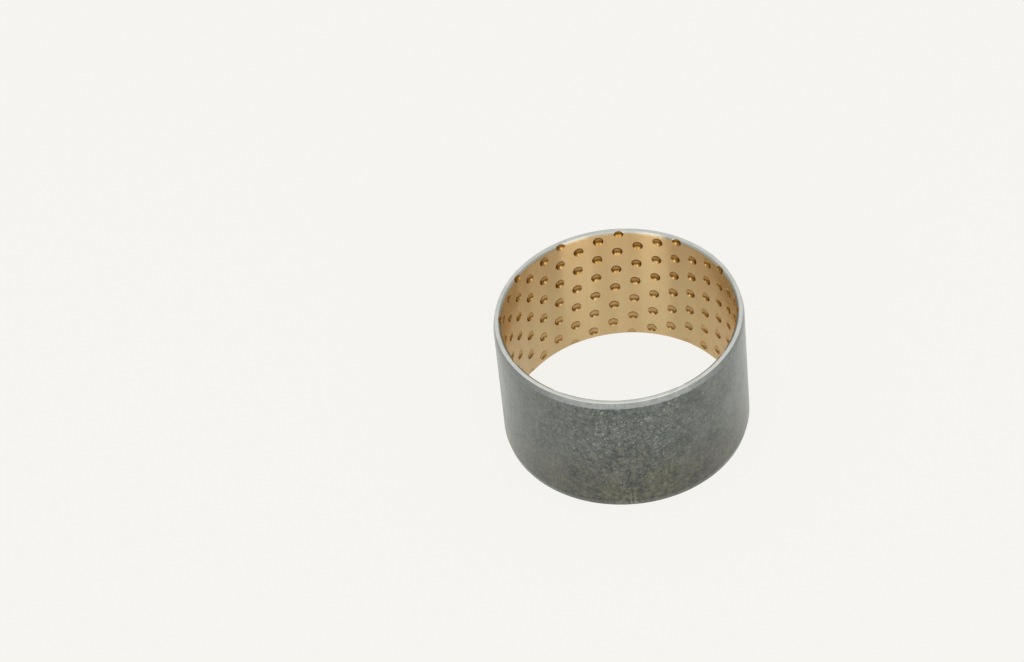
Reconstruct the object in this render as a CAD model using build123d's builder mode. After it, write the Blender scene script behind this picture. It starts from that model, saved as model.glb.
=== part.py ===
from build123d import *
import math
import os

# A wrapped plain bush: a strip of steel with a bronze lining bonded to it, rolled into a ring
# whose ends meet at a butt seam. Spherical pockets pressed into the lining hold the lubricant.
# The bore axis is +Z, and the lower end face lies at z = 0.

# Driving dimensions, in millimetres and degrees
bore_d = 75.0
bush_length = 46.5
steel_thickness = 1.6
lining_thickness = 0.9

outer_chamfer_height = 2.1  # shallow lead-in for pressing the bush into its housing
outer_chamfer_depth = 0.5
bore_chamfer = 0.7  # at 45 degrees, within the lining

seam_angle = 267.0
seam_gap = 0.1
seam_edge_break = 0.15  # at 45 degrees, where the butt faces meet the outside

pocket_d = 3.5
pocket_floor_d = 2.2
pocket_floor_thickness = 0.1  # lining left under a pocket
pocket_sides = 9  # a spherical pocket, cut with few faces
pocket_column_pitch = 6.91  # round the bore, from one column of pockets to the next
pocket_column_drop = 2.69
pocket_row_pitch = 8.08  # along the bore, from one pocket to the next in its column
pocket_row_lean = 0.825  # round the bore, over one row pitch
pocket_origin_angle = 86.97  # the pocket that the pattern is set out from
pocket_origin_height = 30.15
pocket_least_width = 0.4  # what an end edge must leave of a pocket for it to be cut

# Worked out from the driving dimensions
bore_r = bore_d / 2
bond_r = bore_r + lining_thickness
outside_r = bond_r + steel_thickness
pocket_r = pocket_d / 2
pocket_depth = lining_thickness - pocket_floor_thickness
bore_girth = 2 * math.pi * bore_r
column_lean_angle = math.degrees(pocket_row_lean / bore_r)
column_angle = math.degrees(pocket_column_pitch / bore_r)
pocket_end_margin = bore_chamfer + pocket_least_width - pocket_r

# +X of this plane points from the bore axis to the seam
seam_plane = Plane(origin=(0, 0, 0), x_dir=Vector(1, 0, 0).rotate(Axis.Z, seam_angle), z_dir=(0, 0, 1))


def pocket_centres():
    """(angle, height) of each pocket: a slanted grid on the flat strip, clear of its two butt edges."""
    seam_margin = math.degrees((pocket_r + seam_gap) / bore_r)
    columns = math.ceil(bore_girth / pocket_column_pitch)
    rows = math.ceil((bush_length + columns * pocket_column_drop) / pocket_row_pitch)
    centres = []
    for column in range(-columns, columns + 1):
        for row in range(-rows, rows + 1):
            angle = pocket_origin_angle + column * column_angle + row * column_lean_angle
            height = pocket_origin_height - column * pocket_column_drop - row * pocket_row_pitch
            on_strip = seam_angle - 360 + seam_margin < angle < seam_angle - seam_margin
            if on_strip and pocket_end_margin < height < bush_length - pocket_end_margin:
                centres.append((angle, height))
    return centres


def pocket_location(angle, height):
    """Where a pocket's cutter stands on the bore wall, with its axis pointing out from the bore."""
    outward = Vector(1, 0, 0).rotate(Axis.Z, angle)
    return Plane(origin=outward * bore_r + Vector(0, 0, height), x_dir=(0, 0, 1), z_dir=outward).location


# Bronze lining, its pockets still to be cut
with BuildPart() as bronze_lining:
    with BuildSketch(Plane.XZ):
        with BuildLine():
            Polyline(
                (bore_r, bore_chamfer),
                (bore_r + bore_chamfer, 0),
                (bond_r, 0),
                (bond_r, bush_length),
                (bore_r + bore_chamfer, bush_length),
                (bore_r, bush_length - bore_chamfer),
                close=True,
            )
        make_face()
    revolve(axis=Axis.Z)
    with BuildSketch(seam_plane):
        Rectangle(2 * outside_r, seam_gap, align=(Align.MIN, Align.CENTER))
    extrude(amount=bush_length, mode=Mode.SUBTRACT)

# Cutter for one pocket: a many-sided taper that starts a little inside the bore
with BuildPart() as pocket_cutter:
    flare = (pocket_r - pocket_floor_d / 2) / pocket_depth
    lead = pocket_depth / 2
    with BuildSketch(Plane.XY.offset(-lead)):
        RegularPolygon(pocket_r + lead * flare, pocket_sides)
    with BuildSketch(Plane.XY.offset(pocket_depth)):
        RegularPolygon(pocket_floor_d / 2, pocket_sides)
    loft(ruled=True)

with bronze_lining:
    with Locations(*[pocket_location(angle, height) for angle, height in pocket_centres()]):
        add(pocket_cutter.part, mode=Mode.SUBTRACT)

# Steel backing
with BuildPart() as steel_backing:
    with BuildSketch(Plane.XZ):
        with BuildLine():
            Polyline(
                (bond_r, 0),
                (outside_r - outer_chamfer_depth, 0),
                (outside_r, outer_chamfer_height),
                (outside_r, bush_length - outer_chamfer_height),
                (outside_r - outer_chamfer_depth, bush_length),
                (bond_r, bush_length),
                close=True,
            )
        make_face()
    revolve(axis=Axis.Z)
    with BuildSketch(seam_plane):
        with BuildLine():
            # the butt gap, opening to a small V at the outside
            half_gap = seam_gap / 2
            mouth = half_gap + 2 * seam_edge_break
            Polyline(
                (0, -half_gap),
                (outside_r - seam_edge_break, -half_gap),
                (outside_r + seam_edge_break, -mouth),
                (outside_r + seam_edge_break, mouth),
                (outside_r - seam_edge_break, half_gap),
                (0, half_gap),
                close=True,
            )
        make_face()
    extrude(amount=bush_length, mode=Mode.SUBTRACT)

steel_backing.part.label = "steel_backing"
bronze_lining.part.label = "bronze_lining"
os.makedirs("parts", exist_ok=True)
export_step(steel_backing.part, "parts/steel_backing.step")
export_step(bronze_lining.part, "parts/bronze_lining.step")
print(f"{len(pocket_centres())} pockets, outside diameter {2 * outside_r:.1f} mm")
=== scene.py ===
"""Looks for a steel-backed bronze bushing: a pocketed lining, a rolled steel backing and a studio.

Every size is in metres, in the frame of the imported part: the bushing stands on its lower end at Z 0,
with its axis on Z. The patterns in the finishes are set out in millimetres and degrees.
"""

import math

import bmesh
import bpy
from mathutils import Matrix, Vector


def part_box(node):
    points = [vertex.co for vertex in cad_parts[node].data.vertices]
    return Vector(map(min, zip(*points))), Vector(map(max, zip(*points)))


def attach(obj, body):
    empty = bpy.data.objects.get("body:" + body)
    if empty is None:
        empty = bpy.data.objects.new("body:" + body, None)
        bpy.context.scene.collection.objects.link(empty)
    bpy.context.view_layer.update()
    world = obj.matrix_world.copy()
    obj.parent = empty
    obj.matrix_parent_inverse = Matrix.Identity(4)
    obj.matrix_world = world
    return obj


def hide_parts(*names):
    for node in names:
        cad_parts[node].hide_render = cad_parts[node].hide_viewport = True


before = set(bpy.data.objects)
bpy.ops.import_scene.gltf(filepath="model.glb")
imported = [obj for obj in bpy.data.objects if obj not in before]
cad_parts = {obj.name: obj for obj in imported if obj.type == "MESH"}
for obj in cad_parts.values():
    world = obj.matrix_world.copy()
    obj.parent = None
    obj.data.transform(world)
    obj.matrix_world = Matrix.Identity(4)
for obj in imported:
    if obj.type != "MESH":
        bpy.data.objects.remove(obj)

bl_info = {
    "name": "Bronze Lined Bushing",
    "version": (1, 0, 0),
    "blender": (4, 5, 0),
    "location": "View3D > Sidebar > Bushing",
    "description": "Builds a wrapped steel and bronze bushing, its finishes and a studio to show it in",
    "category": "Object",
}

MM = 0.001
FULL_TURN = 2.0 * math.pi

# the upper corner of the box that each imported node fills
LINING_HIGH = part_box("bronze_lining")[1]
BACKING_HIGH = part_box("steel_backing")[1]


# ---------------------------------------------------------------- sizes and colours


def length(name, description, default):
    return bpy.props.FloatProperty(
        name=name, description=description, default=default, min=0.0, precision=5, unit="LENGTH"
    )


def angle(name, description, degrees):
    return bpy.props.FloatProperty(
        name=name, description=description, default=math.radians(degrees), subtype="ANGLE"
    )


def brightness(name, description, default):
    return bpy.props.FloatProperty(name=name, description=description, default=default, min=0.0)


def colour(name, description, default):
    return bpy.props.FloatVectorProperty(
        name=name, description=description, default=default, size=3, min=0.0, max=1.0, subtype="COLOR"
    )


class BUSHING_PG_ring(bpy.types.PropertyGroup):
    """Sizes of the ring itself"""

    outside_radius: length("Outside radius", "Radius of the steel outside", BACKING_HIGH.x)
    bond_radius: length("Bond radius", "Where the bronze meets the steel", LINING_HIGH.x)
    bore_radius: length("Bore radius", "Radius of the bronze running surface", 37.5 * MM)
    height: length("Length", "Length of the bushing along its axis", BACKING_HIGH.z)
    chamfer_height: length("Chamfer height", "Outside chamfer, along the axis", 2.1 * MM)
    chamfer_depth: length("Chamfer depth", "Outside chamfer, across the wall", 0.5 * MM)
    chamfer_soften: length("Chamfer rounding", "Radius between the outside chamfer and the wall", 1.2 * MM)
    face_soften: length("Face rounding", "Radius between an end face and the outside chamfer", 0.1 * MM)
    bore_chamfer: length("Bore chamfer", "45 degree chamfer between the bore and an end face", 0.7 * MM)
    bore_soften: length("Bore chamfer rounding", "Radius between the chamfer and the bore", 0.3 * MM)
    seam_angle: angle("Seam angle", "Where the two butt edges meet, round the axis from +X", 267.0)
    seam_gap: length("Seam gap", "Gap between the two butt edges", 0.016 * MM)
    seam_break: length("Seam edge break", "Rounding of the butt edges on the outside", 0.07 * MM)


class BUSHING_PG_pockets(bpy.types.PropertyGroup):
    """Sizes of the grease pockets and of the slanted grid that they stand on"""

    diameter: length("Pocket diameter", "Diameter of a pocket at the running surface", 3.5 * MM)
    depth: length("Pocket depth", "Depth of a pocket at its middle", 0.8 * MM)
    seam_margin: length("Seam margin", "Least distance from a pocket's edge to the seam's middle", 0.2 * MM)
    row_pitch: length("Row pitch", "From one pocket to the next along the axis", 7.99 * MM)
    row_lean: length("Row lean", "Sideways step of that same move", 0.832 * MM)
    column_pitch: length("Column pitch", "From one column to the next round the bore", 6.807 * MM)
    column_drop: length("Column drop", "Downward step of that same move", 2.647 * MM)
    origin_angle: angle("First pocket angle", "Angle of the pocket that the grid starts from", 86.874)
    origin_height: length("First pocket height", "Height of that pocket", 30.131 * MM)
    end_reach: length("End reach", "How far past an end a pocket's middle may lie", 0.65 * MM)


class BUSHING_PG_finish(bpy.types.PropertyGroup):
    """Colours of the steel and the bronze"""

    wall_dark: colour("Wall dark", "Darker tone of the outside wall's mill finish", (0.005, 0.006, 0.005))
    wall_light: colour("Wall light", "Lighter tone of the outside wall's mill finish", (0.093, 0.094, 0.086))
    low_tint: colour("Low tint", "Browner tint of the mill finish toward the lower end", (0.95, 0.72, 0.45))
    wall_speck: colour("Wall specks", "Small bright worn spots on the outside", (0.36, 0.37, 0.34))
    wall_stain: colour("Wall stain", "Brown oil and rust stain on the outside", (0.112, 0.100, 0.056))
    wall_sheen: colour("Wall sheen", "Tint of the outside wall's reflections", (0.92, 1.0, 0.95))
    handled: colour("Handled", "Duller tint in patches of the turned rim", (0.88, 0.90, 0.90))
    cut_bronze: colour("Cut bronze", "Bare bronze on the bore's chamfers", (0.40, 0.30, 0.165))
    cut_steel: colour("Cut steel", "Turned end faces", (0.76, 0.755, 0.70))
    chamfer_dark: colour("Chamfer dark", "Darker tone of the outside chamfer", (0.25, 0.265, 0.26))
    chamfer_light: colour("Chamfer light", "Lighter tone of the outside chamfer", (0.38, 0.395, 0.385))
    bronze: colour("Bronze", "Running surface", (0.68, 0.502, 0.262))
    bronze_light: colour("Bronze light", "Lighter streaks along the axis", (0.715, 0.535, 0.285))
    # painted reflection: the bore is tinted warmer high up, so that the lower bore, which mirrors the pale
    # floor, reads paler
    upper_tint: colour("Upper tint", "Warmer tint of the upper running surface", (0.97, 0.91, 0.87))
    # painted shade on the upper bore toward the front
    upper_front_shade: colour("Corner tint", "Darker tint of the upper bore, toward the front", (0.86, 0.86, 0.90))
    # painted reflection of the pale floor on the lower bore, not wear
    bronze_floor_reflection: colour("Bronze pale", "Paler, pinker wear of the lower bore", (0.67, 0.565, 0.40))
    pocket: colour("Pocket", "Tarnished inside of a pocket", (0.32, 0.17, 0.036))


class BUSHING_PG_studio(bpy.types.PropertyGroup):
    """Floor and lights"""

    floor: colour("Floor", "Pale floor", (0.922, 0.905, 0.871))
    sky: brightness("Surround", "Brightness of the soft surround", 0.78)
    softbox: brightness("Softboxes", "Brightness of the two standing softboxes in front", 2.0)
    screen: brightness("Front screen", "Brightness of the screen between the softboxes", 0.86)
    top: brightness("Top light", "Brightness of the soft light above", 1.0)


# ---------------------------------------------------------------- node helpers


class Wiring:
    """Adds nodes to a tree and joins them, so that a tree reads as a list of steps."""

    def __init__(self, tree):
        self.tree = tree

    def node(self, kind, inputs=None, **settings):
        made = self.tree.nodes.new(kind)
        for name, value in settings.items():
            setattr(made, name, value)
        for key, value in (inputs or {}).items():
            self.feed(made.inputs[key], value)
        return made

    def feed(self, socket, value):
        """Joins a socket or a node to this socket, or sets the socket to a plain value."""
        if isinstance(value, bpy.types.NodeSocket):
            self.tree.links.new(value, socket)
        elif isinstance(value, bpy.types.Node):
            self.tree.links.new(value.outputs[0], socket)
        else:
            socket.default_value = value

    def math(self, operation, a, b=0.0, c=0.0, clamp=False):
        made = self.node("ShaderNodeMath", operation=operation, use_clamp=clamp)
        for socket, value in zip(made.inputs, (a, b, c)):
            self.feed(socket, value)
        return made.outputs[0]

    def add(self, a, b, clamp=False):
        return self.math("ADD", a, b, clamp=clamp)

    def subtract(self, a, b, clamp=False):
        return self.math("SUBTRACT", a, b, clamp=clamp)

    def multiply(self, a, b):
        return self.math("MULTIPLY", a, b)

    def line(self, value, gain, offset):
        """gain * value + offset"""
        return self.math("MULTIPLY_ADD", value, gain, offset)

    def distance(self, a, b):
        """How far apart two numbers are."""
        return self.math("ABSOLUTE", self.subtract(a, b))

    def vector(self, x=0.0, y=0.0, z=0.0):
        return self.node("ShaderNodeCombineXYZ", {0: x, 1: y, 2: z}).outputs[0]

    def split(self, vector):
        """The X, Y and Z of a vector."""
        return self.node("ShaderNodeSeparateXYZ", {0: vector}).outputs

    def vector_sum(self, a, b):
        return self.node("ShaderNodeVectorMath", {0: a, 1: b}, operation="ADD").outputs[0]

    def times_vector(self, vector, amount):
        return self.node("ShaderNodeVectorMath", {0: vector, "Scale": amount}, operation="SCALE").outputs[0]

    def stretch(self, vector, x, y, z):
        return self.node("ShaderNodeMapping", {"Vector": vector, "Scale": (x, y, z)}).outputs[0]

    def ramp(self, value, over, gives=(0.0, 1.0)):
        """Goes smoothly from one number to another while the value goes over a stretch."""
        made = self.node("ShaderNodeMapRange", {"Value": value}, interpolation_type="SMOOTHSTEP")
        for name, number in zip(("From Min", "From Max", "To Min", "To Max"), (*over, *gives)):
            self.feed(made.inputs[name], number)
        return made.outputs[0]

    def noise(self, vector, scale, detail=4.0, roughness=0.55):
        made = self.node(
            "ShaderNodeTexNoise",
            {"Vector": vector, "Scale": scale, "Detail": detail, "Roughness": roughness},
        )
        return made.outputs[0]

    def blend(self, factor, a, b, kind="MIX"):
        """Colour a, going to b as the factor goes to 1."""
        made = self.node("ShaderNodeMix", data_type="RGBA", blend_type=kind)
        for index, value in ((0, factor), (6, a), (7, b)):
            self.feed(made.inputs[index], value)
        return made.outputs[2]

    def tint(self, factor, a, rgb):
        """Colour a, going to its product with rgb as the factor goes to 1."""
        return self.blend(factor, a, opaque(rgb), "MULTIPLY")

    def bump(self, height_map, strength, distance):
        inputs = {"Strength": strength, "Distance": distance, "Height": height_map}
        return self.node("ShaderNodeBump", inputs).outputs[0]


def opaque(rgb, shade=1.0):
    """A colour as a socket takes it, made darker or lighter by the shade."""
    return (*(shade * channel for channel in rgb), 1.0)


def new_material(name):
    """A material, the wiring of its tree and its Principled shader."""
    material = bpy.data.materials.new(name)
    material.use_nodes = True
    shader = next(n for n in material.node_tree.nodes if n.type == "BSDF_PRINCIPLED")
    return material, Wiring(material.node_tree), shader


class Spot:
    """A point of the part, in millimetres and radians: its place, its height, its radius and its angle."""

    def __init__(self, wires):
        per_mm = 1.0 / MM
        self.place = wires.stretch(wires.node("ShaderNodeTexCoord").outputs["Object"], per_mm, per_mm, per_mm)
        x, y, self.z = wires.split(self.place)
        self.radius = wires.math("SQRT", wires.add(wires.multiply(x, x), wires.multiply(y, y)))
        self.turn = wires.math("ARCTAN2", y, x)


def near_angle(wires, spot, degrees, width):
    """1 at an angle round the axis, falling to 0 over width degrees on each side."""
    off = wires.subtract(spot.turn, math.radians(degrees))
    off = wires.math("ABSOLUTE", wires.math("WRAP", off, math.pi, -math.pi))
    return wires.ramp(off, over=(0.0, math.radians(width)), gives=(1.0, 0.0))


def near_ends(wires, spot, ring, start, full):
    """1 by both ends: it sets in at one distance from the end and is full at another, in millimetres."""
    half = ring.height / MM / 2
    return wires.ramp(wires.distance(spot.z, half), over=(half - start, half - full))


# ---------------------------------------------------------------- mesh helpers


def linked(name, data):
    """A new object that carries this mesh, lamp or camera."""
    made = bpy.data.objects.new(name, data)
    bpy.context.scene.collection.objects.link(made)
    return made


def baked(name, tree, values):
    """Runs a Geometry Nodes tree with these named inputs and returns its result as a plain mesh."""
    carrier = linked(name, bpy.data.meshes.new(name))
    modifier = carrier.modifiers.new(name, "NODES")
    modifier.node_group = tree
    for item in tree.interface.items_tree:
        if item.in_out == "INPUT":
            modifier[item.identifier] = values[item.name]
    evaluated = carrier.evaluated_get(bpy.context.evaluated_depsgraph_get())
    mesh = bpy.data.meshes.new_from_object(evaluated)
    carrier.modifiers.remove(modifier)
    bpy.data.objects.remove(carrier)
    return mesh


def smoothed(bm, sharp_from):
    """Faces that point outward and shade smoothly, except over edges at least this sharp, in degrees."""
    bmesh.ops.recalc_face_normals(bm, faces=bm.faces)
    for face in bm.faces:
        face.smooth = True
        face.material_index = 0
    for edge in bm.edges:
        if edge.is_manifold and edge.calc_face_angle() > math.radians(sharp_from):
            edge.smooth = False


def finished(name, bm, material):
    """The object that carries this mesh and material."""
    mesh = bpy.data.meshes.new(name)
    bm.to_mesh(mesh)
    bm.free()
    mesh.materials.append(material)
    return linked(name, mesh)


# ---------------------------------------------------------------- finishes


# angles round the axis and widths to each side, in degrees
FRONT = 270.0  # toward -Y
FRONT_WIDTH = 62.0
SEAM_WEAR_WIDTH = 42.0
DRIP_ANGLES = (-0.5, 1.4)  # from the seam
DRIP_WIDTH = 0.9
CORNER_WIDTH = 150.0
PALE_ANGLE = 260.0
PALE_WIDTH = 160.0

# how dark or light a colour is used, as a share of its own
THIN_STAIN = 0.15
DRIED_DRIP = 1.5
GROOVE = 0.88
# painted shade: the end face's share at the front
FRONT_FACE_SHADE = 0.91
# painted shade: the upper chamfer's share away from the front
SIDE_CHAMFER_SHADE = 0.62
BORE_CHAMFER_END = 0.64

WHITE = (1.0, 1.0, 1.0)


def mill_finish(wires, spot, colours, height, by_seam, mottle):
    """The wall's rolled steel: mottled in every size, most by the seam, and darker and browner low down, with
    painted shade over the lowest few millimetres.
    """
    contrast = wires.line(by_seam, gain=3.0, offset=3.8)
    patches = wires.noise(spot.place, scale=0.11, detail=2.0)
    streaks = wires.noise(wires.stretch(spot.place, 1.1, 1.1, 0.08), scale=1.0, detail=3.0)
    low_half = wires.ramp(spot.z, over=(0.0, 0.7 * height), gives=(0.15, 0.0))
    # painted shade: the lowest 4 mm, where the lower chamfer faces the floor, are darkened further
    foot_shade = wires.ramp(spot.z, over=(0.0, 4.0), gives=(0.3, 0.0))
    tone = wires.multiply(wires.subtract(mottle, 0.5), contrast)
    tone = wires.add(tone, wires.line(patches, gain=1.3, offset=-0.25))
    tone = wires.add(tone, wires.line(streaks, gain=0.5, offset=-0.15))
    tone = wires.subtract(tone, wires.add(low_half, foot_shade), clamp=True)
    wall = wires.blend(tone, opaque(colours.wall_dark), opaque(colours.wall_light))
    return wires.tint(wires.ramp(spot.z, over=(3.0, 0.6 * height), gives=(0.9, 0.0)), wall, colours.low_tint)


def add_specks(wires, spot, colours, height, by_seam, wall):
    """Small bright spots, more of them high up and by the seam."""
    speck = wires.ramp(wires.noise(spot.place, scale=1.3, detail=2.0, roughness=0.7), over=(0.58, 0.68))
    upper = wires.ramp(spot.z, over=(0.25 * height, 0.75 * height))
    shown = wires.line(upper, gain=0.35, offset=0.35)
    shown = wires.multiply(shown, wires.line(by_seam, gain=0.7, offset=0.3))
    return wires.blend(wires.multiply(speck, shown), wall, opaque(colours.wall_speck))


def add_stains(wires, spot, colours, ring, by_seam, mottle, wall):
    """Brown stains in the lower part, and two dried drips that run down beside the seam."""
    height = ring.height / MM
    stain = wires.ramp(wires.noise(spot.place, scale=0.14, detail=6.0, roughness=0.75), over=(0.44, 0.6))
    lower = wires.ramp(spot.z, over=(0.25 * height, 0.8 * height), gives=(1.0, 0.1))
    shown = wires.multiply(lower, wires.line(by_seam, gain=0.55, offset=0.25))
    thin, thick = opaque(colours.wall_stain, THIN_STAIN), opaque(colours.wall_stain)
    stain_tone = wires.blend(wires.ramp(mottle, over=(0.38, 0.62)), thin, thick)
    wall = wires.blend(wires.multiply(stain, shown), wall, stain_tone)

    drip_top = wires.line(mottle, gain=12.0, offset=spot.z)
    drip_height = wires.ramp(drip_top, over=(9.0, 15.0), gives=(0.6, 0.0))
    for from_seam in DRIP_ANGLES:
        drip = near_angle(wires, spot, math.degrees(ring.seam_angle) + from_seam, DRIP_WIDTH)
        drip = wires.multiply(drip, drip_height)
        wall = wires.blend(drip, wall, opaque(colours.wall_stain, DRIED_DRIP))
    return wall


def turned_face(wires, spot, colours, by_front):
    """The end faces: fine turned grooves round the axis, with painted shade that makes them a little darker
    at the front.
    """
    across_grooves = wires.vector(z=wires.multiply(spot.radius, 9.0))
    grooves = wires.ramp(wires.noise(across_grooves, scale=1.0, detail=2.0), over=(0.3, 0.7))
    face = wires.blend(grooves, opaque(colours.cut_steel, GROOVE), opaque(colours.cut_steel))
    # painted shade: the end face is darkened toward the front
    return wires.blend(by_front, face, opaque(WHITE, FRONT_FACE_SHADE), "MULTIPLY")


def turned_chamfer(wires, colours, by_front, mottle):
    """The upper outside chamfer: mottled, with painted shade that makes it darker away from the front."""
    tone = wires.ramp(mottle, over=(0.3, 0.7))
    bright = wires.blend(tone, opaque(colours.chamfer_dark), opaque(colours.chamfer_light))
    # painted shade: away from the front the chamfer takes a darker copy of its own colour
    dull = wires.blend(1.0, bright, opaque(WHITE, SIDE_CHAMFER_SHADE), "MULTIPLY")
    return wires.blend(by_front, dull, bright)


def backing_finish(colours, ring):
    """Dull rolled steel outside, with turned end faces and a turned upper chamfer."""
    material, wires, shader = new_material("backing_steel_finish")
    spot = Spot(wires)
    height = ring.height / MM
    by_seam = near_angle(wires, spot, math.degrees(ring.seam_angle), SEAM_WEAR_WIDTH)
    # by_front is 1 toward the front and carries the painted shade of the end faces and the upper chamfer
    by_front = wires.ramp(near_angle(wires, spot, FRONT, FRONT_WIDTH), over=(0.0, 0.7))
    mottle = wires.noise(spot.place, scale=0.55, detail=5.0, roughness=0.95)
    grain = wires.noise(spot.place, scale=2.4, detail=3.0, roughness=0.6)

    wall = mill_finish(wires, spot, colours, height, by_seam, mottle)
    wall = add_specks(wires, spot, colours, height, by_seam, wall)
    wall = add_stains(wires, spot, colours, ring, by_seam, mottle, wall)

    # the lower chamfer is as dull as the wall, and the upper one's edge is a little ragged
    chamfer_edge = height - ring.chamfer_height / MM
    ragged = wires.line(mottle, gain=0.5, offset=wires.subtract(spot.z, 0.25))
    on_chamfer = wires.ramp(ragged, over=(chamfer_edge - 0.15, chamfer_edge + 0.15))
    on_face = near_ends(wires, spot, ring, start=0.12, full=0.03)
    finish = wires.blend(on_chamfer, wall, turned_chamfer(wires, colours, by_front, mottle))
    finish = wires.blend(on_face, finish, turned_face(wires, spot, colours, by_front))
    on_rim = wires.math("MAXIMUM", on_chamfer, on_face)
    handled = wires.ramp(wires.noise(spot.place, scale=0.22, roughness=0.65), over=(0.38, 0.62))
    finish = wires.tint(wires.multiply(on_rim, handled), finish, colours.handled)
    wires.feed(shader.inputs["Base Color"], finish)

    bare = wires.math("MAXIMUM", wires.multiply(on_chamfer, 0.9), on_face)
    wires.feed(shader.inputs["Metallic"], bare)
    rough = wires.line(grain, gain=0.2, offset=0.3)
    wires.feed(shader.inputs["Roughness"], wires.subtract(rough, wires.multiply(on_face, 0.06)))

    # the wall's oily sheen is faintly green, weaker low down and stronger again low on the sides
    sheen_tint = wires.blend(on_chamfer, opaque(colours.wall_sheen), opaque(WHITE))
    sheen = wires.ramp(spot.z, over=(2.0, 0.85 * height), gives=(0.34, 0.74))
    low_sheen = wires.ramp(spot.z, over=(2.0, 0.85 * height), gives=(0.16, 0.0))
    sheen = wires.add(sheen, wires.multiply(wires.subtract(1.0, by_front), low_sheen))
    shader.inputs["Specular IOR Level"].default_value = 0.6
    wires.feed(shader.inputs["Specular Tint"], sheen_tint)
    wires.feed(shader.inputs["Coat Tint"], sheen_tint)
    wires.feed(shader.inputs["Coat Weight"], sheen)
    shader.inputs["Coat Roughness"].default_value = 0.25
    pitted = wires.line(mottle, gain=0.6, offset=wires.multiply(grain, 0.4))
    wires.feed(shader.inputs["Normal"], wires.bump(pitted, strength=0.35, distance=0.08 * MM))
    return material


def running_surface(wires, spot, colours, height, cloud, hair):
    """The bore between the pockets: soft bands along the axis; painted reflection makes it warmer high up and
    paler low on the sides, painted shade darker high toward the front.
    """
    along = wires.noise(wires.stretch(spot.place, 0.22, 0.22, 0.01), scale=1.0, detail=2.0, roughness=0.4)
    band = wires.ramp(along, over=(0.35, 0.65))
    band = wires.add(band, wires.line(cloud, gain=0.5, offset=-0.25))
    band = wires.add(band, wires.line(hair, gain=0.3, offset=-0.15), clamp=True)
    land = wires.blend(band, opaque(colours.bronze), opaque(colours.bronze_light))
    # painted reflection: warmer high up, so that the lower bore reads paler where it mirrors the pale floor
    land = wires.tint(wires.ramp(spot.z, over=(0.52 * height, 0.95 * height)), land, colours.upper_tint)

    # painted shade: the upper bore is darkened and cooled toward the front
    to_front = wires.ramp(near_angle(wires, spot, FRONT, CORNER_WIDTH), over=(0.05, 0.25))
    corner = wires.multiply(to_front, wires.ramp(spot.z, over=(0.65 * height, 0.95 * height)))
    land = wires.tint(corner, land, colours.upper_front_shade)

    # painted reflection of the pale floor: the lower sides of the bore turn paler and pinker, in patches
    to_side = near_angle(wires, spot, PALE_ANGLE, PALE_WIDTH)
    low = wires.ramp(spot.z, over=(0.13 * height, 0.77 * height), gives=(1.0, 0.0))
    pale = wires.ramp(wires.multiply(to_side, low), over=(0.0, 0.4))
    cloudy = wires.ramp(cloud, over=(0.25, 0.6), gives=(0.65, 1.0))
    return wires.blend(wires.multiply(pale, cloudy), land, opaque(colours.bronze_floor_reflection))


def lining_finish(colours, ring):
    """Satin bronze with soft bands along the axis and tarnished pockets."""
    material, wires, shader = new_material("lining_bronze_finish")
    spot = Spot(wires)
    height = ring.height / MM
    cloud = wires.noise(spot.place, scale=0.12, detail=4.0, roughness=0.6)
    hair = wires.noise(wires.stretch(spot.place, 3.2, 3.2, 0.12), scale=1.0, detail=3.0)
    land = running_surface(wires, spot, colours, height, cloud, hair)

    # pocket_reach is 1 at a pocket's rim; the tarnish is patchy, and the pockets are lighter low in the bore
    reach = wires.node("ShaderNodeAttribute", attribute_name="pocket_reach", attribute_type="GEOMETRY")
    inside = wires.ramp(reach.outputs["Fac"], over=(0.97, 1.03), gives=(1.0, 0.0))
    patchy = wires.ramp(wires.noise(spot.place, scale=0.5, detail=3.0), over=(0.3, 0.7), gives=(0.75, 1.0))
    by_height = wires.ramp(spot.z, over=(0.13 * height, 0.86 * height), gives=(0.72, 1.0))
    tarnish = wires.multiply(inside, wires.multiply(patchy, by_height))
    finish = wires.blend(tarnish, land, opaque(colours.pocket))

    # the end chamfers cut bare bronze, which looks greyer toward the end face
    bore, chamfer = ring.bore_radius / MM, ring.bore_chamfer / MM
    on_chamfer = near_ends(wires, spot, ring, start=chamfer + 0.05, full=chamfer - 0.1)
    on_chamfer = wires.multiply(on_chamfer, wires.subtract(1.0, inside))
    outward = wires.ramp(spot.radius, over=(bore + 0.05, bore + 0.6))
    cut = wires.blend(outward, opaque(colours.cut_bronze), opaque(colours.cut_steel, BORE_CHAMFER_END))
    wires.feed(shader.inputs["Base Color"], wires.blend(on_chamfer, finish, cut))
    shader.inputs["Metallic"].default_value = 1.0

    rough = wires.line(hair, gain=0.1, offset=0.33)
    rough = wires.subtract(rough, wires.multiply(inside, 0.15))
    rough = wires.subtract(rough, wires.multiply(on_chamfer, 0.1))
    wires.feed(shader.inputs["Roughness"], rough)

    # drawn round the bore, so that a light spreads along the axis, and less so in the pressed pockets
    wires.feed(shader.inputs["Anisotropic"], wires.line(inside, gain=-0.4, offset=1.0))
    shader.inputs["Anisotropic Rotation"].default_value = 0.25
    tangent = wires.node("ShaderNodeTangent", direction_type="RADIAL", axis="Z")
    wires.feed(shader.inputs["Tangent"], tangent)
    wires.feed(shader.inputs["Normal"], wires.bump(hair, strength=0.2, distance=0.03 * MM))
    return material


def floor_finish(studio):
    """A pale table top, lit mostly from within so that shadows stay faint."""
    material, _, shader = new_material("pale_floor")
    own_light = 0.955
    shader.inputs["Base Color"].default_value = opaque(studio.floor, 1.0 - own_light)
    shader.inputs["Roughness"].default_value = 1.0
    shader.inputs["Specular IOR Level"].default_value = 0.0
    shader.inputs["Emission Color"].default_value = opaque(studio.floor)
    shader.inputs["Emission Strength"].default_value = own_light
    return material


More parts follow.
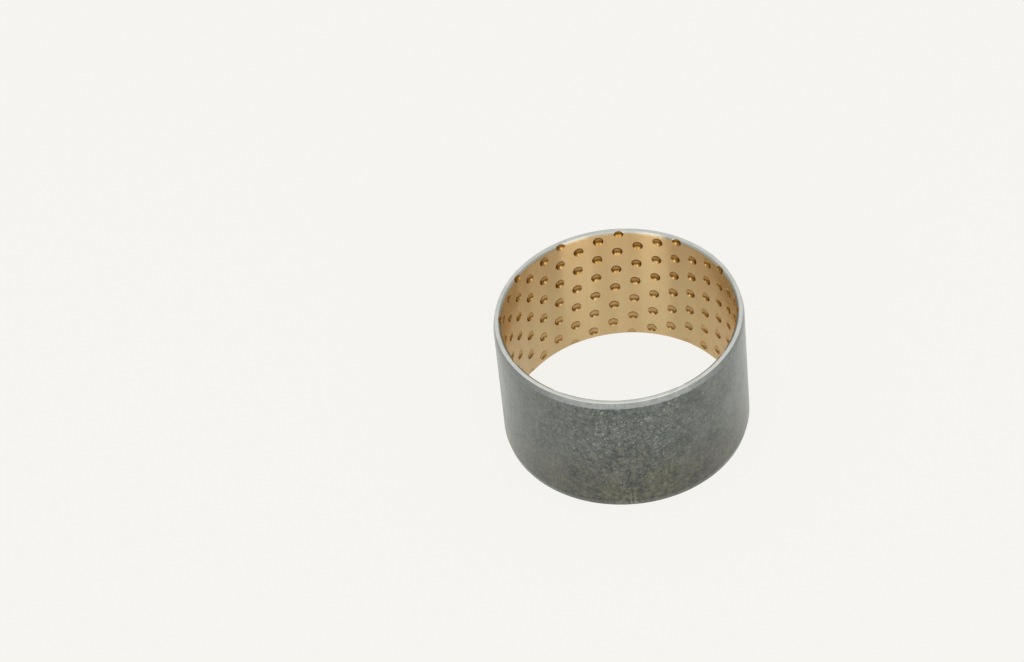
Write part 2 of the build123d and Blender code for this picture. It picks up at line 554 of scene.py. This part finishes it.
# ---------------------------------------------------------------- lining


RING_SIDES = 16
RING_SHARES = (0.0, 0.5, 0.82, 1.0)  # the rings of a pocket, as shares of its radius
NO_POCKET = 9.0  # the pocket_reach of a place that is far from any pocket
RIM_TOLERANCE = 0.002  # in pocket_reach
WELD = 0.02 * MM  # points of neighbouring cells that are this close become one
SAME_PLACE = 1e-7  # a cut that passes a point this closely goes through it
SPARE_STEPS = 3  # of the grid, past the edges of the strip
BEND_PARTS = 5  # that an end chamfer's soft corner is cut into
SLOPE_PARTS = 4  # that the rest of an end chamfer is cut into
BACK_STRIPS = 180

SHEET_INPUTS = {
    "Columns": "NodeSocketInt",
    "Rows": "NodeSocketInt",
    "Row Step": "NodeSocketVector",
    "Column Step": "NodeSocketVector",
    "First Pocket": "NodeSocketVector",
    "Pocket Radius": "NodeSocketFloat",
    "Pocket Depth": "NodeSocketFloat",
    "Ball Radius": "NodeSocketFloat",
    "Ring Start": "NodeSocketFloat",
    "Half Width": "NodeSocketFloat",
    "Height": "NodeSocketFloat",
    "Cell Reach": "NodeSocketFloat",
    "Seam Margin": "NodeSocketFloat",
    "End Reach": "NodeSocketFloat",
    "Finish": "NodeSocketMaterial",
}


def cell_outline(wires, given, side):
    """The parallelogram between two grid steps: it is gone round once as side goes from 0 to 1."""
    lap = wires.multiply(side, 4.0)

    def along_step(middle):
        """-0.5 to 0.5 along one step, and held at each end while the outline follows the other step."""
        held = wires.math("MINIMUM", wires.subtract(1.0, wires.distance(lap, middle)), 0.5)
        return wires.math("MAXIMUM", held, -0.5)

    along_row = wires.times_vector(given["Row Step"], along_step(1.5))
    along_column = wires.times_vector(given["Column Step"], along_step(2.5))
    return wires.vector_sum(along_row, along_column)


def pocket_cells(wires, given):
    """One cell of the slanted grid, with its pocket and without.

    Its mesh is a set of rings round the pocket, then its outline, which has the same points on opposite
    sides, so that neighbours join up. Each point's pocket_reach is its distance from the pocket's middle,
    in pocket radii.
    """
    # a flat grid, wrapped up: its X goes round the rings and its Y from ring to ring, then to the outline
    ring_count = len(RING_SHARES)
    grid = wires.node(
        "GeometryNodeMeshGrid",
        {"Size X": 1.0, "Size Y": 1.0, "Vertices X": RING_SIDES + 1, "Vertices Y": ring_count + 1},
    ).outputs["Mesh"]
    across = wires.split(wires.node("GeometryNodeInputPosition"))
    side = wires.add(across[0], 0.5)
    ring_number = wires.math("ROUND", wires.multiply(wires.add(across[1], 0.5), float(ring_count)))
    share = wires.node("GeometryNodeIndexSwitch", data_type="FLOAT")
    while len(share.index_switch_items) < ring_count + 1:
        share.index_switch_items.new()
    wires.feed(share.inputs["Index"], ring_number)
    for number, ring_share in enumerate((*RING_SHARES, 1.0)):
        share.inputs[number + 1].default_value = ring_share
    spoke = wires.multiply(share.outputs[0], given["Pocket Radius"])
    direction = wires.line(side, gain=FULL_TURN, offset=given["Ring Start"])
    ring_x = wires.multiply(spoke, wires.math("COSINE", direction))
    ring_y = wires.multiply(spoke, wires.math("SINE", direction))

    # a pocket is the dent of a ball
    ball = wires.multiply(given["Ball Radius"], given["Ball Radius"])
    over = wires.math("SQRT", wires.subtract(ball, wires.multiply(spoke, spoke)))
    rest = wires.subtract(given["Ball Radius"], given["Pocket Depth"])
    dent = wires.math("MINIMUM", wires.subtract(rest, over), 0.0)

    outline = cell_outline(wires, given, side)
    is_outline = wires.math("GREATER_THAN", ring_number, ring_count - 0.5)

    def cell(depth):
        place = wires.node("ShaderNodeMix", data_type="VECTOR")
        for index, value in ((0, is_outline), (4, wires.vector(ring_x, ring_y, depth)), (5, outline)):
            wires.feed(place.inputs[index], value)
        return wires.node("GeometryNodeSetPosition", {"Geometry": grid, "Position": place.outputs[1]})

    def with_reach(geometry, value):
        return wires.node(
            "GeometryNodeStoreNamedAttribute",
            {"Geometry": geometry, "Name": "pocket_reach", "Value": value},
            data_type="FLOAT",
            domain="POINT",
        )

    here = wires.node("GeometryNodeInputPosition")
    flat = wires.node("ShaderNodeVectorMath", {0: here, 1: (1.0, 1.0, 0.0)}, operation="MULTIPLY")
    away = wires.node("ShaderNodeVectorMath", {0: flat}, operation="LENGTH").outputs["Value"]
    pocketed = with_reach(cell(dent), wires.math("DIVIDE", away, given["Pocket Radius"]))
    plain = with_reach(cell(0.0), NO_POCKET)
    return pocketed, plain


def grid_points(wires, given):
    """The grid's points on and close to the strip, and 1 where a point carries a pocket."""
    index = wires.node("GeometryNodeInputIndex").outputs[0]
    columns, rows, height = given["Columns"], given["Rows"], given["Height"]

    def halved(count):
        return wires.math("FLOOR", wires.math("DIVIDE", count, 2.0))

    column = wires.subtract(wires.math("FLOORED_MODULO", index, columns), halved(columns))
    row = wires.subtract(wires.math("FLOOR", wires.math("DIVIDE", index, columns)), halved(rows))
    moved = wires.times_vector(given["Column Step"], column)
    leaned = wires.times_vector(given["Row Step"], row)
    place = wires.vector_sum(wires.vector_sum(given["First Pocket"], moved), leaned)
    points = wires.node("GeometryNodePoints", {"Count": wires.multiply(columns, rows), "Position": place})

    at = wires.split(wires.node("GeometryNodeInputPosition"))
    half_height = wires.multiply(height, 0.5)
    past_end = wires.subtract(wires.distance(at[1], half_height), half_height)
    past_seam = wires.subtract(wires.math("ABSOLUTE", at[0]), given["Half Width"])
    too_far = wires.math("GREATER_THAN", wires.math("MAXIMUM", past_end, past_seam), given["Cell Reach"])
    points = wires.node(
        "GeometryNodeDeleteGeometry", {"Geometry": points, "Selection": too_far}, domain="POINT"
    )
    clear_of_seam = wires.math("LESS_THAN", wires.add(past_seam, given["Seam Margin"]), 0.0)
    clear_of_end = wires.math("LESS_THAN", wires.subtract(past_end, given["End Reach"]), 0.0)
    return points, wires.multiply(clear_of_seam, clear_of_end)


def pocket_sheet_tree():
    """Geometry Nodes: the cells of the slanted grid laid out over a flat strip, pockets downward."""
    tree = bpy.data.node_groups.new("pocket_sheet", "GeometryNodeTree")
    tree.interface.new_socket("Sheet", in_out="OUTPUT", socket_type="NodeSocketGeometry")
    for name, kind in SHEET_INPUTS.items():
        tree.interface.new_socket(name, in_out="INPUT", socket_type=kind)
    wires = Wiring(tree)
    given = wires.node("NodeGroupInput").outputs

    pocketed, plain = pocket_cells(wires, given)
    points, has_pocket = grid_points(wires, given)
    has_none = wires.subtract(1.0, has_pocket)
    laid = wires.node("GeometryNodeJoinGeometry")
    for mesh, where in ((pocketed, has_pocket), (plain, has_none)):
        inputs = {"Points": points, "Instance": mesh, "Selection": where}
        copies = wires.node("GeometryNodeInstanceOnPoints", inputs)
        wires.feed(laid.inputs[0], copies)

    # one smooth mesh, with a crisp edge round each pocket
    sheet = wires.node("GeometryNodeRealizeInstances", {"Geometry": laid})
    sheet = wires.node("GeometryNodeMergeByDistance", {"Geometry": sheet, "Distance": WELD})
    reach = wires.node("GeometryNodeInputNamedAttribute", {"Name": "pocket_reach"}, data_type="FLOAT")
    on_rim = wires.math("LESS_THAN", wires.distance(reach.outputs[0], 1.0), RIM_TOLERANCE)
    smooth = {"Geometry": sheet, "Shade Smooth": True}
    sheet = wires.node("GeometryNodeSetShadeSmooth", smooth, domain="FACE")
    crisp = {"Geometry": sheet, "Selection": on_rim, "Shade Smooth": False}
    sheet = wires.node("GeometryNodeSetShadeSmooth", crisp, domain="EDGE")
    sheet = wires.node("GeometryNodeSetMaterial", {"Geometry": sheet, "Material": given["Finish"]})
    wires.node("NodeGroupOutput", {"Sheet": sheet})
    return tree


def strip_middle(ring):
    """The angle of the strip's middle, opposite the seam."""
    return ring.seam_angle - math.pi


def butt_edge(ring):
    """How far the strip's butt edges are from its middle, along the running surface."""
    return math.pi * ring.bore_radius - ring.seam_gap / 2


def pressed_sheet(ring, pockets, material):
    """A flat strip, a little larger than the lining, with the pockets pressed into it.

    Its X is the way round the bore, with 0 opposite the seam, its Y is the height, and its Z is 0 at the
    running surface and negative inside the wall.
    """
    half = math.pi * ring.bore_radius
    first_around = (pockets.origin_angle - strip_middle(ring)) * ring.bore_radius
    row_step = Vector((pockets.row_lean, -pockets.row_pitch, 0.0))
    column_step = Vector((pockets.column_pitch, -pockets.column_drop, 0.0))

    # the rings start between the way to the outline's first corner and a quarter turn back from its second
    corners = (row_step + column_step, row_step - column_step)
    to_first = math.atan2(-corners[0].y, -corners[0].x)
    to_second = math.atan2(corners[1].y, corners[1].x) % FULL_TURN - math.pi / 2

    # enough steps each way to cover the strip, and rows for the columns' drop as well
    to_seam = math.ceil(half / pockets.column_pitch)
    to_end = math.ceil((ring.height + to_seam * pockets.column_drop) / pockets.row_pitch)
    values = {
        "Columns": 2 * to_seam + SPARE_STEPS,
        "Rows": 2 * to_end + SPARE_STEPS,
        "Row Step": row_step,
        "Column Step": column_step,
        "First Pocket": Vector((first_around, pockets.origin_height, 0.0)),
        "Pocket Radius": pockets.diameter / 2,
        "Pocket Depth": pockets.depth,
        "Ball Radius": ((pockets.diameter / 2) ** 2 + pockets.depth**2) / (2 * pockets.depth),
        "Ring Start": (to_first + to_second) / 2,
        "Half Width": half,
        "Height": ring.height,
        "Cell Reach": pockets.row_pitch,
        "Seam Margin": pockets.diameter / 2 + pockets.seam_margin,
        "End Reach": pockets.end_reach,
        "Finish": material,
    }
    sheet = baked("bronze_liner", pocket_sheet_tree(), values)
    bm = bmesh.new()
    bm.from_mesh(sheet)
    bpy.data.meshes.remove(sheet)
    return bm


def chamfer_bend(ring):
    """Distances from an end to where the chamfer's soft corner leaves the bore and meets the slope."""
    corner = ring.bore_soften * math.tan(math.radians(22.5))
    return ring.bore_chamfer + corner, ring.bore_chamfer - corner * math.cos(math.radians(45.0))


def worn_depth(height, ring):
    """How far the bore's end chamfer goes into the wall at some height."""
    inside = min(height, ring.height - height)
    start, stop = chamfer_bend(ring)
    if inside >= start:
        return 0.0
    if inside <= stop:
        return ring.bore_chamfer - inside
    return ring.bore_soften - math.sqrt(ring.bore_soften**2 - (start - inside) ** 2)


def cut_flat(bm, point, normal, drop=False):
    """Cuts the sheet along a line and, if drop is set, takes away what lies past it."""
    everything = bm.verts[:] + bm.edges[:] + bm.faces[:]
    bmesh.ops.bisect_plane(
        bm, geom=everything, plane_co=point, plane_no=normal, dist=SAME_PLACE, clear_outer=drop
    )


def trim_strip(bm, ring):
    """Cuts the strip to its four edges, with more cuts where its end chamfers bend."""
    butt, top = butt_edge(ring), ring.height
    cut_flat(bm, (-butt, 0, 0), (-1, 0, 0), drop=True)
    cut_flat(bm, (butt, 0, 0), (1, 0, 0), drop=True)
    cut_flat(bm, (0, 0, 0), (0, -1, 0), drop=True)
    cut_flat(bm, (0, top, 0), (0, 1, 0), drop=True)
    start, stop = chamfer_bend(ring)
    bend = [start + (stop - start) * part / BEND_PARTS for part in range(BEND_PARTS + 1)]
    slope = [stop * part / SLOPE_PARTS for part in range(SLOPE_PARTS - 1, 0, -1)]
    for line in bend + slope:
        cut_flat(bm, (0, line, 0), (0, 1, 0))
        cut_flat(bm, (0, top - line, 0), (0, 1, 0))


def chamfer_ends(bm, ring, pockets):
    """Lowers the strip into its end chamfers, and keeps what they cut off a pocket out of its tarnish."""
    reach = bm.verts.layers.float["pocket_reach"]
    for vertex in bm.verts:
        worn = worn_depth(vertex.co.y, ring)
        if worn > 0.0:
            past = (worn + vertex.co.z) / pockets.depth
            vertex[reach] = max(vertex[reach], 1.0 + past)
            vertex.co.z = min(vertex.co.z, -worn)


def close_back(bm, ring):
    """Walls down from the strip's edges, then a back that is cut into narrow strips so that it can bend."""
    rims = [edge for edge in bm.edges if edge.is_boundary]
    for item in bmesh.ops.extrude_edge_only(bm, edges=rims)["geom"]:
        if isinstance(item, bmesh.types.BMVert):
            item.co.z = ring.bore_radius - ring.bond_radius
    rims = [edge for edge in bm.edges if edge.is_boundary]
    rest = bmesh.ops.edgeloop_fill(bm, edges=rims)["faces"]
    for step in range(1, BACK_STRIPS):
        line = butt_edge(ring) * (2 * step / BACK_STRIPS - 1)
        geom = list(dict.fromkeys(item for face in rest for item in (face, *face.edges, *face.verts)))
        made = bmesh.ops.bisect_plane(
            bm, geom=geom, plane_co=(line, 0, 0), plane_no=(1, 0, 0), dist=SAME_PLACE
        )["geom"]
        faces = [item for item in made if isinstance(item, bmesh.types.BMFace)]
        rest = [face for face in faces if face.calc_center_median().x > line]


def roll_up(bm, ring):
    """Bends the strip round the axis, until its two ends meet at the seam."""
    for vertex in bm.verts:
        around = strip_middle(ring) + vertex.co.x / ring.bore_radius
        out = ring.bore_radius - vertex.co.z
        vertex.co = (out * math.cos(around), out * math.sin(around), vertex.co.y)


def make_lining(ring, pockets, material):
    """Presses the pockets into a flat strip, cuts it to size, chamfers its ends and rolls it up."""
    bm = pressed_sheet(ring, pockets, material)
    trim_strip(bm, ring)
    chamfer_ends(bm, ring, pockets)
    close_back(bm, ring)
    roll_up(bm, ring)
    smoothed(bm, sharp_from=50.0)
    return finished("bronze_liner", bm, material)


# ---------------------------------------------------------------- backing


FILLET_STEPS = 4
STATION_STEP = math.radians(1.0)
LIP_STEPS = (0.0, 30.0, 50.0, 70.0, 90.0)  # where the butt edges' rounding is cut, in degrees of its arc
LIP_BLEND = 0.3 * MM  # how far in from the face's outer edge that rounding dies out


def filleted(corners):
    """A closed outline of (radius, height) points, from corners that are (radius, height, fillet)."""
    outline = []
    for i, (radius, height, fillet) in enumerate(corners):
        here = Vector((radius, height))
        if fillet <= 0.0:
            outline.append(here)
            continue
        before = (Vector(corners[i - 1][:2]) - here).normalized()
        after = (Vector(corners[(i + 1) % len(corners)][:2]) - here).normalized()
        half = before.angle(after) / 2
        reach = fillet / math.tan(half)
        centre = here + (before + after).normalized() * (fillet / math.sin(half))
        start = (here + before * reach - centre).normalized()
        end = (here + after * reach - centre).normalized()
        for step in range(FILLET_STEPS + 1):
            outline.append(centre + fillet * start.slerp(end, step / FILLET_STEPS))
    return outline


def backing_outline(ring):
    """The steel's section: flat to the bond, with long shallow chamfers outside."""
    face_edge = ring.outside_radius - ring.chamfer_depth
    top, rise = ring.height, ring.chamfer_height
    return filleted(
        [
            (ring.bond_radius, 0.0, 0.0),
            (face_edge, 0.0, ring.face_soften),
            (ring.outside_radius, rise, ring.chamfer_soften),
            (ring.outside_radius, top - rise, ring.chamfer_soften),
            (face_edge, top, ring.face_soften),
            (ring.bond_radius, top, 0.0),
        ]
    )


def seam_stations(ring):
    """Angles from the seam at which the section is set: close together on the butt edges, then even."""
    gap = ring.seam_gap / 2
    lip = [ring.seam_break * (1.0 - math.cos(math.radians(step))) for step in LIP_STEPS]
    near = [(gap + along) / ring.outside_radius for along in lip]
    even = [STATION_STEP * k for k in range(1, round(FULL_TURN / STATION_STEP))]
    far = [FULL_TURN - station for station in reversed(near)]
    return near + [station for station in even if near[-1] < station < far[0]] + far


def lip_depth(station, ring):
    """How far the butt edges' rounding sinks the outside at some angle from the seam."""
    from_butt = min(station, FULL_TURN - station) * ring.outside_radius - ring.seam_gap / 2
    left = max(0.0, ring.seam_break - from_butt)
    return ring.seam_break - math.sqrt(max(0.0, ring.seam_break**2 - left**2))


def section_at(station, outline, ring):
    """The section's points at some angle from the seam."""
    sunk, around = lip_depth(station, ring), ring.seam_angle + station
    blend_start = ring.outside_radius - ring.chamfer_depth - LIP_BLEND
    points = []
    for radius, height in outline:
        share = min(1.0, max(0.0, (radius - blend_start) / LIP_BLEND))
        out = radius - sunk * share
        points.append((out * math.cos(around), out * math.sin(around), height))
    return points


def make_backing(ring, material):
    """Rolls the steel strip into a ring, with its chamfers, rounded edges and open butt seam."""
    outline, stations = backing_outline(ring), seam_stations(ring)
    size, last = len(outline), (len(stations) - 1) * len(outline)
    points = [point for station in stations for point in section_at(station, outline, ring)]
    faces = []
    for start in range(0, last, size):
        for i in range(size):
            here, onward = start + i, start + (i + 1) % size
            faces.append((here, onward, onward + size, here + size))
    faces.append(tuple(range(size)))
    faces.append(tuple(last + i for i in reversed(range(size))))
    mesh = bpy.data.meshes.new("steel_strip")
    mesh.from_pydata(points, [], faces)
    bm = bmesh.new()
    bm.from_mesh(mesh)
    bpy.data.meshes.remove(mesh)
    smoothed(bm, sharp_from=40.0)
    return finished("steel_shell", bm, material)


# ---------------------------------------------------------------- studio


CAMERA_TILT = math.radians(44.67)
CAMERA_ROLL = math.radians(-6.457)
CAMERA_LENS = 132.84
CAMERA_SENSOR = 36.0
CAMERA_RANGE = (0.05, 50.0)
PART_FROM_CAMERA = (0.0374965, -0.0274757, 1.2327552)  # the part's origin: right, up and forward
LAMP_COLOUR = (1.0, 0.99, 0.97)
SKY_COLOUR = (0.97, 1.0, 0.99)
BEHIND_DARKER = 0.65  # share of the sky that is taken away low down behind the bushing
LIGHT_FOOT = 0.05
FLOOR_REACH = 6.0


def place_camera():
    """A long lens from the front and above, rolled a little."""
    forward = Vector((0.0, math.cos(CAMERA_TILT), -math.sin(CAMERA_TILT)))
    level = Vector((1.0, 0.0, 0.0))
    upright = level.cross(forward)
    right = math.cos(CAMERA_ROLL) * level + math.sin(CAMERA_ROLL) * upright
    up = math.cos(CAMERA_ROLL) * upright - math.sin(CAMERA_ROLL) * level
    x, y, z = PART_FROM_CAMERA
    place = -(x * right + y * up + z * forward)
    data = bpy.data.cameras.new("camera")
    data.lens = CAMERA_LENS
    data.sensor_width = CAMERA_SENSOR
    data.clip_start, data.clip_end = CAMERA_RANGE
    camera = linked("camera", data)
    rows = [(right[i], up[i], -forward[i], place[i]) for i in range(3)]
    camera.matrix_world = Matrix([*rows, (0.0, 0.0, 0.0, 1.0)])
    bpy.context.scene.camera = camera


def soft_light(name, place, target, size, radiance):
    """A rectangle that shines evenly and faces the target."""
    wide, tall = size
    data = bpy.data.lights.new(name, "AREA")
    data.shape = "RECTANGLE"
    data.size, data.size_y = size
    data.energy = radiance * math.pi * wide * tall
    data.color = LAMP_COLOUR
    light = linked(name, data)
    light.location = place
    light.rotation_euler = (Vector(target) - Vector(place)).to_track_quat("-Z", "Y").to_euler()


def standing_light(name, bearing, spread, away, tall, radiance):
    """A standing screen: its bearing from -Y toward +X, and its spread, in degrees as seen from the axis."""
    turn = math.radians(bearing)
    middle = LIGHT_FOOT + tall / 2
    place = (away * math.sin(turn), -away * math.cos(turn), middle)
    wide = 2 * away * math.tan(math.radians(spread / 2))
    soft_light(name, place, target=(0.0, 0.0, middle), size=(wide, tall), radiance=radiance)


def lay_floor(studio):
    mesh = bpy.data.meshes.new("floor")
    corners = [(x * FLOOR_REACH, y * FLOOR_REACH, 0.0) for x, y in ((-1, -1), (1, -1), (1, 1), (-1, 1))]
    mesh.from_pydata(corners, [], [(0, 1, 2, 3)])
    mesh.materials.append(floor_finish(studio))
    linked("floor", mesh)


def surround(studio):
    """An even pale sky, darker low down behind the bushing."""
    world = bpy.data.worlds.new("surround")
    bpy.context.scene.world = world
    world.use_nodes = True
    wires = Wiring(world.node_tree)
    _, y, z = wires.split(wires.node("ShaderNodeTexCoord").outputs["Generated"])
    behind = wires.multiply(wires.ramp(y, over=(0.1, 0.8)), wires.ramp(z, over=(0.1, 0.6), gives=(1.0, 0.0)))
    sky = world.node_tree.nodes["Background"]
    sky.inputs["Color"].default_value = opaque(SKY_COLOUR)
    strength = wires.line(behind, gain=-BEHIND_DARKER * studio.sky, offset=studio.sky)
    wires.feed(sky.inputs["Strength"], strength)


def make_studio(studio, ring):
    """A pale floor, a soft surround, four soft lights and the camera."""
    lay_floor(studio)
    surround(studio)
    # the left box, the screen and the right box stand side by side, as seen from the bushing
    box = {"away": 1.02, "tall": 1.2, "radiance": studio.softbox}
    standing_light("left_softbox", bearing=-38.0, spread=23.6, **box)
    standing_light("front_screen", bearing=-3.2, spread=46.0, away=1.3, tall=1.55, radiance=studio.screen)
    standing_light("right_softbox", bearing=32.0, spread=24.4, **box)
    bushing = (0.0, 0.0, ring.height / 2)
    soft_light("top_light", place=(0.0, 0.2, 1.2), target=bushing, size=(0.8, 0.8), radiance=studio.top)
    bpy.context.scene.view_settings.view_transform = "Standard"
    place_camera()


# ---------------------------------------------------------------- operators


class BUSHING_OT_lining(bpy.types.Operator):
    """Press, cut and roll the pocketed bronze lining"""

    bl_idname = "bushing.lining"
    bl_label = "Bronze Lining"

    def execute(self, context):
        scene = context.scene
        material = lining_finish(scene.bushing_finish, scene.bushing_ring)
        liner = make_lining(scene.bushing_ring, scene.bushing_pockets, material)
        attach(liner, "root")
        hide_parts("bronze_lining")
        return {"FINISHED"}


class BUSHING_OT_backing(bpy.types.Operator):
    """Roll the steel backing, with its chamfers and butt seam"""

    bl_idname = "bushing.backing"
    bl_label = "Steel Backing"

    def execute(self, context):
        scene = context.scene
        material = backing_finish(scene.bushing_finish, scene.bushing_ring)
        shell = make_backing(scene.bushing_ring, material)
        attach(shell, "root")
        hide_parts("steel_backing")
        return {"FINISHED"}


class BUSHING_OT_studio(bpy.types.Operator):
    """Lay the floor and set the lights and the camera"""

    bl_idname = "bushing.studio"
    bl_label = "Studio"

    def execute(self, context):
        make_studio(context.scene.bushing_studio, context.scene.bushing_ring)
        return {"FINISHED"}


class BUSHING_PT_panel(bpy.types.Panel):
    """Steps that build the bushing and its studio"""

    bl_idname = "BUSHING_PT_panel"
    bl_label = "Bushing"
    bl_space_type = "VIEW_3D"
    bl_region_type = "UI"
    bl_category = "Bushing"

    def draw(self, context):
        for step in STEPS:
            self.layout.operator(step.bl_idname)


STEPS = (BUSHING_OT_lining, BUSHING_OT_backing, BUSHING_OT_studio)
GROUPS = {
    "bushing_ring": BUSHING_PG_ring,
    "bushing_pockets": BUSHING_PG_pockets,
    "bushing_finish": BUSHING_PG_finish,
    "bushing_studio": BUSHING_PG_studio,
}


def register():
    for cls in (*GROUPS.values(), *STEPS, BUSHING_PT_panel):
        bpy.utils.register_class(cls)
    for name, group in GROUPS.items():
        setattr(bpy.types.Scene, name, bpy.props.PointerProperty(type=group))


def unregister():
    for name in GROUPS:
        delattr(bpy.types.Scene, name)
    for cls in (BUSHING_PT_panel, *reversed(STEPS), *reversed(GROUPS.values())):
        bpy.utils.unregister_class(cls)


def main():
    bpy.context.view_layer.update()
    register()
    bpy.ops.bushing.lining()
    bpy.ops.bushing.backing()
    bpy.ops.bushing.studio()


if __name__ == "__main__":
    main()
